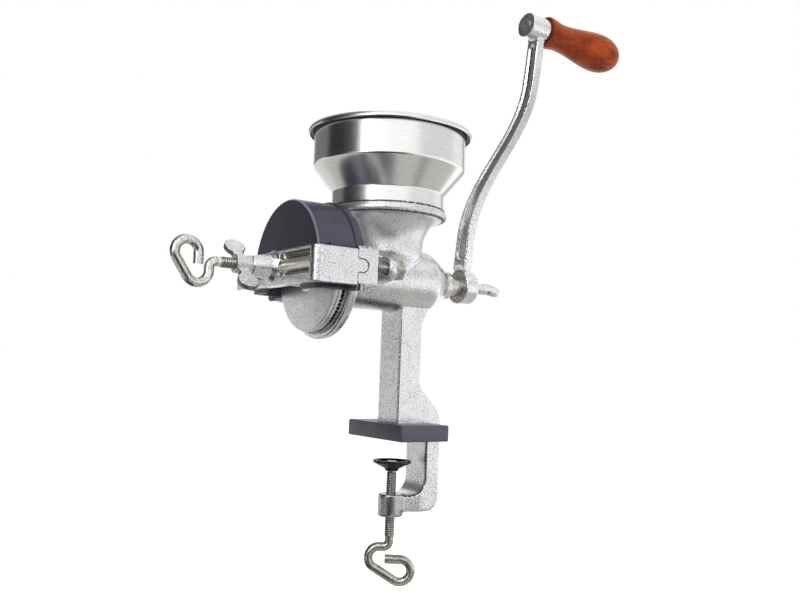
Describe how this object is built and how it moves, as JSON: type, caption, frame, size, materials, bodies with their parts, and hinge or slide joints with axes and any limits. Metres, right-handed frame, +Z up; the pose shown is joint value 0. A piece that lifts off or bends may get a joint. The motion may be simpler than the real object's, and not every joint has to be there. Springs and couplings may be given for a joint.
{
  "type": "corn grinder",
  "caption": "Hand-cranked cast-iron corn grinder with a steel hopper, burr discs under a hood, a wooden crank grip and a screw clamp for a table edge",
  "frame": {"origin": "middle of the pad's underside, where it rests on the table", "axes": "+Z up; the shaft runs along Y, with the burr discs and the adjusting screw at -Y and the crank at +Y; +X is the side that the crank leans to"},
  "size_m": [0.1532, 0.4389, 0.5286],
  "materials": {
    "tinned_casting": "hot-tinned casting, bright and slightly grainy",
    "spun_steel": "spun stainless sheet, finely brushed round the axis",
    "disc_iron": "tinned iron, ground on the working faces",
    "plated_steel": "zinc-plated steel",
    "slate_plastic": "moulded slate-grey plastic, satin",
    "dark_steel": "dark oxidised pressed steel",
    "varnished_wood": "turned hardwood, orange-brown varnish"
  },
  "bodies": {
    "mill": {"body": "tinned_casting", "stationary_burr": "disc_iron", "thrust_washer": "plated_steel", "yoke": "tinned_casting", "hinge_bolts": "tinned_casting", "hinge_pins": "plated_steel", "hinge_nuts": "plated_steel", "table_pad": "slate_plastic"},
    "rotor": {"auger": "disc_iron", "crank": "tinned_casting", "grip_pin": "plated_steel", "grip_washer": "plated_steel"},
    "disc": {"burr_carrier": "disc_iron", "rotating_burr": "disc_iron"},
    "ball": {"thrust_ball": "plated_steel"},
    "adjuster": {"adjusting_screw": "plated_steel"},
    "locker": {"lock_nut": "tinned_casting"},
    "crank_seat": {"crank_washer": "plated_steel"},
    "crank_thumb": {"crank_screw": "plated_steel"},
    "handle": {"grip": "varnished_wood"},
    "cup": {"clamp_cup": "dark_steel"},
    "clamp": {"clamp_screw": "plated_steel"},
    "bowl": {"hopper": "spun_steel"},
    "hood": {"cover": "slate_plastic"}
  },
  "joints": [
    {"name": "crank_turn", "type": "hinge", "parent": "mill", "child": "rotor", "pos_m": [0, 0, 0.138], "axis": [0, 1, 0], "continuous": true},
    {"name": "disc_gap", "type": "slide", "parent": "rotor", "child": "disc", "axis": [0, -1, 0], "range_m": [0, 0.006]},
    {"name": "adjust_travel", "type": "slide", "parent": "mill", "child": "ball", "axis": [0, -1, 0], "range_m": [0, 0.006]},
    {"name": "adjust_turn", "type": "hinge", "parent": "ball", "child": "adjuster", "pos_m": [0, -0.18, 0.138], "axis": [0, -1, 0], "continuous": true},
    {"name": "lock_nut_turn", "type": "hinge", "parent": "adjuster", "child": "locker", "pos_m": [0, -0.156, 0.138], "axis": [0, -1, 0], "range_deg": [0, 180]},
    {"name": "thumb_travel", "type": "slide", "parent": "rotor", "child": "crank_seat", "axis": [0, 1, 0], "range_m": [0, 0.01]},
    {"name": "thumb_turn", "type": "hinge", "parent": "crank_seat", "child": "crank_thumb", "pos_m": [0, 0.09, 0.138], "axis": [0, 1, 0], "continuous": true},
    {"name": "grip_spin", "type": "hinge", "parent": "rotor", "child": "handle", "pos_m": [0.03514, 0.1168, 0.38804], "axis": [-0.0073, 0.9986, -0.0518], "continuous": true},
    {"name": "clamp_travel", "type": "slide", "parent": "mill", "child": "cup", "axis": [0, 0, 1], "range_m": [-0.018, 0.0187]},
    {"name": "clamp_turn", "type": "hinge", "parent": "cup", "child": "clamp", "pos_m": [0, -0.0043, -0.06], "axis": [0, 0, 1], "continuous": true},
    {"name": "hopper_lift", "type": "slide", "parent": "mill", "child": "bowl", "axis": [0, 0, 1], "range_m": [0, 0.04]},
    {"name": "cover_lift", "type": "slide", "parent": "mill", "child": "hood", "axis": [0, 0, 1], "range_m": [0, 0.014]}
  ],
  "couplings": [
    {"joint": "disc_gap", "follows": "adjust_travel", "ratio": 1},
    {"joint": "adjust_turn", "follows": "adjust_travel", "rad_per_m": 4188.8},
    {"joint": "thumb_turn", "follows": "thumb_travel", "rad_per_m": 5026.5},
    {"joint": "clamp_turn", "follows": "clamp_travel", "rad_per_m": 4188.8}
  ]
}
